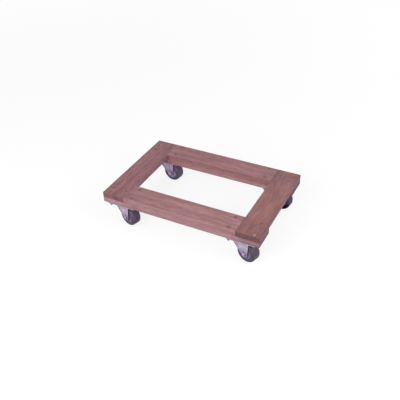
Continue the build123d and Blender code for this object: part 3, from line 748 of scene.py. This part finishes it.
def lock_nut(width, bore, low, high):
    """Hexagon nut with a round collar at its high end that grips the thread."""
    shoulder = high - COLLAR_HEIGHT
    collar = COLLAR_SHARE * width
    body = hexagon(width, low, shoulder, ("bottom", "top"))
    eased = [(collar - inset, high - drop) for inset, drop in COLLAR_EASE]
    round_top = draw_up(COLLAR_SIDES, [(collar, shoulder - OVERLAP)] + eased)
    return bored(work(body, round_top, "UNION"), bore, low, high)


def grid_places(node, count):
    """Centre of each solid in a node of equal solids, in order along the dolly, then across it."""
    mesh = bmesh.new()
    mesh.from_mesh(frame["nodes"][node].data)
    bmesh.ops.remove_doubles(mesh, verts=mesh.verts, dist=MERGED * MM)
    unseen = set(mesh.verts)
    centres = []
    while unseen:
        solid, waiting = set(), [unseen.pop()]
        while waiting:
            vertex = waiting.pop()
            solid.add(vertex)
            for other in (edge.other_vert(vertex) for edge in vertex.link_edges):
                if other in unseen:
                    unseen.remove(other)
                    waiting.append(other)
        xs = [v.co.x for v in solid]
        ys = [v.co.y for v in solid]
        centres.append(((min(xs) + max(xs)) / 2, (min(ys) + max(ys)) / 2))
    mesh.free()
    if len(centres) != count:
        raise ValueError(f"{node} has {len(centres)} solids, not {count}")
    return sorted(centres)


def stood(places):
    """Upright places, each turned a little further than the last, as fasteners are left by hand."""
    return [Matrix.Translation((x, y, 0)) @ Matrix.Rotation(i * GOLDEN_TURN, 4, "Z")
            for i, (x, y) in enumerate(places)]


def hung(places, top):
    """Upright places as above, each turned over to hang from a height."""
    return [place @ Matrix.Translation((0, 0, top * MM)) @ Matrix.Rotation(math.pi, 4, "X")
            for place in stood(places)]


def heights(node):
    low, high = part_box(node)
    return low.z / MM, high.z / MM


bolt = smooth(flat_head_bolt(*heights("rail_bolts")))
for name, node, slot in (("rail_flat_head_bolts", "rail_bolts", "bolt_steel"),
                         ("end_board_flat_head_bolts", "end_board_bolts", "dull_bolt_steel")):
    dress(set_out(name, bolt, stood(grid_places(node, BOLTS_TO_A_NODE))), "frame", node)
bpy.data.objects.remove(bolt)

screw = smooth(wood_screw(*heights("corner_screws")))
screws = set_out("corner_wood_screws", screw, stood(grid_places("corner_screws", SCREWS)))
dress(screws, "frame", "corner_screws")
bpy.data.objects.remove(screw)

nut_end, nut_seat = heights("bolt_nuts")
nut = smooth(lock_nut(NUT_FLATS, BOLT_SHANK, 0, nut_seat - nut_end))
nuts = set_out("caster_bolt_nuts", nut, hung(grid_places("bolt_nuts", NUTS), nut_seat))
dress(nuts, "frame", "bolt_nuts")
bpy.data.objects.remove(nut)


# Wheel pieces, made about the axle with the wheel's middle at zero, in millimetres

AXLE_SHANK, AXLE_ROOT = 3.97, 3.35
AXLE_POINT_INSET, AXLE_POINT = 0.6, 0.7
AXLE_PITCH, AXLE_THREAD, AXLE_THREAD_ROOM = 1.41, 7, 1.3
AXLE_FLATS, AXLE_HEAD = 12.7, 5.2
WHEEL_RADIUS = JOINTS["front_left_roll"]["pos_m"][2] / MM
TYRE_RIM, TYRE_RIM_HALF = 22.1, 17.05
TYRE_BEAD = ((0.0, 0.0), (0.9, 0.0), (1.2, 0.45), (2.2, 0.5), (2.6, 0.05))
TYRE_GROOVE = ((4.1, 0.0), (4.35, -0.45), (4.85, -0.45), (5.1, 0.0))
TYRE_SHOULDER, TYRE_SHOULDER_STEPS = 9.5, 10
MOULD_LINE_HALF, MOULD_LINE_DEPTH = 0.7, 0.25
TYRE_SIDES, TYRE_SHARP_ANGLE = 96, 24.0


def across(corner):
    """Frame of a corner's wheel: along the trail, down, and along the axle."""
    roll = JOINTS[f"{corner}_roll"]
    axle = Vector(roll["axis"])
    trail = axle.cross(Vector((0, 0, 1)))
    turn = Matrix((trail, Vector((0, 0, -1)), axle)).transposed().to_4x4()
    return Matrix.Translation(roll["pos_m"]) @ turn


def reach(corner, piece):
    """How far a caster piece reaches along its axle, from the wheel's middle."""
    roll = JOINTS[f"{corner}_roll"]
    axle, middle = Vector(roll["axis"]), Vector(roll["pos_m"])
    spans = [(v.co - middle).dot(axle) for v in frame["nodes"][f"{corner}_{piece}"].data.vertices]
    return min(spans) / MM, max(spans) / MM


def hex_bolt(low, high):
    """Axle bolt: a hexagon head with its outer corners turned down, and a thread at the nut's end."""
    face = low + AXLE_HEAD
    thread_low = high - AXLE_PITCH * (AXLE_THREAD + AXLE_THREAD_ROOM)
    head = hexagon(AXLE_FLATS, low, face, ("bottom",))
    shank = draw_up(ROUND_SIDES, [
        (AXLE_SHANK, face - OVERLAP), (AXLE_SHANK, thread_low - THREAD_RUN_OUT), (AXLE_ROOT, thread_low),
        (AXLE_ROOT, high - AXLE_POINT), (AXLE_ROOT - AXLE_POINT_INSET, high)])
    ridge = thread(AXLE_ROOT - THREAD_BED, AXLE_SHANK, AXLE_PITCH, thread_low, AXLE_THREAD)
    return work(work(head, shank, "UNION"), ridge, "UNION")


def axle_nut(low, high):
    return lock_nut(AXLE_FLATS, AXLE_SHANK, low, high)


def moulded_tyre(half):
    """Solid tyre: a bead round the rim, a groove in its dished sides, round shoulders and a mould line.
    Bead and groove are steps out from the rim, each with how proud of the side it stands."""
    flank = WHEEL_RADIUS - TYRE_SHOULDER
    slope = (half - TYRE_RIM_HALF) / (flank - TYRE_RIM)
    dished = [(TYRE_RIM + out, TYRE_RIM_HALF + slope * out + proud) for out, proud in TYRE_BEAD + TYRE_GROOVE]
    turns = [math.pi / 2 * (1 - i / TYRE_SHOULDER_STEPS) for i in range(TYRE_SHOULDER_STEPS + 1)]
    shoulder = [(flank + TYRE_SHOULDER * math.cos(a), half - TYRE_SHOULDER + TYRE_SHOULDER * math.sin(a))
                for a in turns]
    mould_line = [(WHEEL_RADIUS, MOULD_LINE_HALF), (WHEEL_RADIUS - MOULD_LINE_DEPTH, MOULD_LINE_HALF / 2)]
    side = dished + shoulder + mould_line
    profile = side + [(r, -z) for r, z in reversed(side)] + [side[0]]
    return draw_up(TYRE_SIDES, profile, hollow=True)


for name, node, maker in (("hex_bolt", "axle_bolt", hex_bolt), ("lock_nut", "axle_nut", axle_nut)):
    pattern = smooth(maker(*reach(CORNERS[0], node)))
    for corner in CORNERS:
        piece = set_out(f"{corner}_{name}", pattern, [across(corner)])
        dress(piece, f"{corner}_caster_fork", f"{corner}_{node}")
    bpy.data.objects.remove(pattern)

tyre = smooth(moulded_tyre(reach(CORNERS[0], "tyre")[1]), TYRE_SHARP_ANGLE)
for corner in CORNERS:
    piece = set_out(f"{corner}_moulded_tyre", tyre, [across(corner)])
    dress(piece, f"{corner}_caster_wheel", f"{corner}_tyre")
bpy.data.objects.remove(tyre)


# Studio: white floor and sky, a soft key from the front, a weaker fill and a back light

SKY_LIGHT = 0.27
FLOOR_SIZE = 30.0
FLOOR_GREY = 0.2
FLOOR_GLOW = 0.82
WHITE_FROM, WHITE_BY = 0.8, 3.5
LAMPS = {
    "key": dict(place=(-0.5, -2.8, 1.45), power=120.0, size=3.2),
    "fill": dict(place=(2.6, -0.4, 1.6), power=35.0, size=1.6),
    "back": dict(place=(0.8, 2.6, 1.8), power=26.0, size=2.4),
}


def seen_directly(tree):
    """One where a ray comes straight from the eye, a reflection or clear glass."""
    light = add_node(tree, "LightPath")
    total = light.outputs["Is Camera Ray"]
    for name in ("Is Glossy Ray", "Is Transmission Ray"):
        total = add_node(tree, "Math", {"operation": "MAXIMUM"}, _0=total, _1=light.outputs[name]).outputs[0]
    return total


def light_sky():
    """Even white sky, brighter where it is seen than in the light that it gives."""
    world = bpy.data.worlds.new("studio")
    bpy.context.scene.world = world
    world.use_nodes = True
    tree = world.node_tree
    lighting = add_node(tree, "Background", Color=(1, 1, 1, 1), Strength=SKY_LIGHT)
    backdrop = add_node(tree, "Background", Color=(1, 1, 1, 1), Strength=1.0)
    either = add_node(tree, "MixShader", _0=seen_directly(tree), _1=lighting.outputs[0],
                      _2=backdrop.outputs[0])
    tree.links.new(either.outputs[0], tree.nodes["World Output"].inputs["Surface"])


def floor_paint():
    """Pale floor that takes a shadow near the dolly, runs into the white sky and is clear from below."""
    paint = bpy.data.materials.new("pale_floor")
    paint.use_nodes = True
    tree = paint.node_tree
    tree.nodes.remove(tree.nodes["Principled BSDF"])
    seen = seen_directly(tree)
    matt = add_node(tree, "BsdfDiffuse", Color=(FLOOR_GREY, FLOOR_GREY, FLOOR_GREY, 1))
    brightness = add_node(tree, "MapRange", _0=seen, _4=FLOOR_GLOW)
    glow = add_node(tree, "Emission", Strength=brightness.outputs[0])
    near = add_node(tree, "AddShader", _0=matt.outputs[0], _1=glow.outputs[0])
    far = add_node(tree, "Emission", Strength=seen)
    place = add_node(tree, "TexCoord").outputs["Object"]
    spread = add_node(tree, "VectorMath", {"operation": "LENGTH"}, _0=place)
    away = add_node(tree, "MapRange", _0=spread.outputs["Value"], _1=WHITE_FROM, _2=WHITE_BY)
    above = add_node(tree, "MixShader", _0=away.outputs[0], _1=near.outputs[0], _2=far.outputs[0])
    below = add_node(tree, "BsdfTransparent")
    underside = add_node(tree, "NewGeometry").outputs["Backfacing"]
    either = add_node(tree, "MixShader", _0=underside, _1=above.outputs[0], _2=below.outputs[0])
    tree.links.new(either.outputs[0], tree.nodes["Material Output"].inputs["Surface"])
    return paint


def soft_lamp(name, place, power, size):
    """Square soft box pointed at the dolly."""
    lamp = bpy.data.lights.new(name, "AREA")
    lamp.energy = power
    lamp.size = size
    holder = bpy.data.objects.new(name, lamp)
    bpy.context.scene.collection.objects.link(holder)
    holder.location = place
    holder.rotation_euler = (-Vector(place)).to_track_quat("-Z", "Y").to_euler()


light_sky()
clear_selection()
bpy.ops.mesh.primitive_plane_add(size=FLOOR_SIZE, location=(0, 0, 0))
floor = bpy.context.object
floor.name = "studio_floor"
floor.data.materials.append(floor_paint())
for name, lamp in LAMPS.items():
    soft_lamp(name, **lamp)


# Camera

PHOTO_SIZE = 400
FOCAL_PIXELS = 557.0
SENSOR_WIDTH = 36.0
CAMERA_PLACE = (0.77225, -1.49462, 1.29785)
YAW, PITCH, ROLL = (math.radians(a) for a in (-27.787, 36.334, -1.597))

ahead = Vector((math.sin(YAW) * math.cos(PITCH), math.cos(YAW) * math.cos(PITCH), -math.sin(PITCH)))
level = Vector((math.cos(YAW), -math.sin(YAW), 0.0))
upward = level.cross(ahead)
right = level * math.cos(ROLL) + upward * math.sin(ROLL)
up = upward * math.cos(ROLL) - level * math.sin(ROLL)
lens = bpy.data.cameras.new("camera")
lens.sensor_width = SENSOR_WIDTH
lens.lens = FOCAL_PIXELS / PHOTO_SIZE * SENSOR_WIDTH
camera = bpy.data.objects.new("camera", lens)
bpy.context.scene.collection.objects.link(camera)
camera.matrix_world = Matrix.Translation(CAMERA_PLACE) @ Matrix((right, up, -ahead)).transposed().to_4x4()
bpy.context.scene.camera = camera
bpy.context.scene.view_settings.view_transform = "Standard"
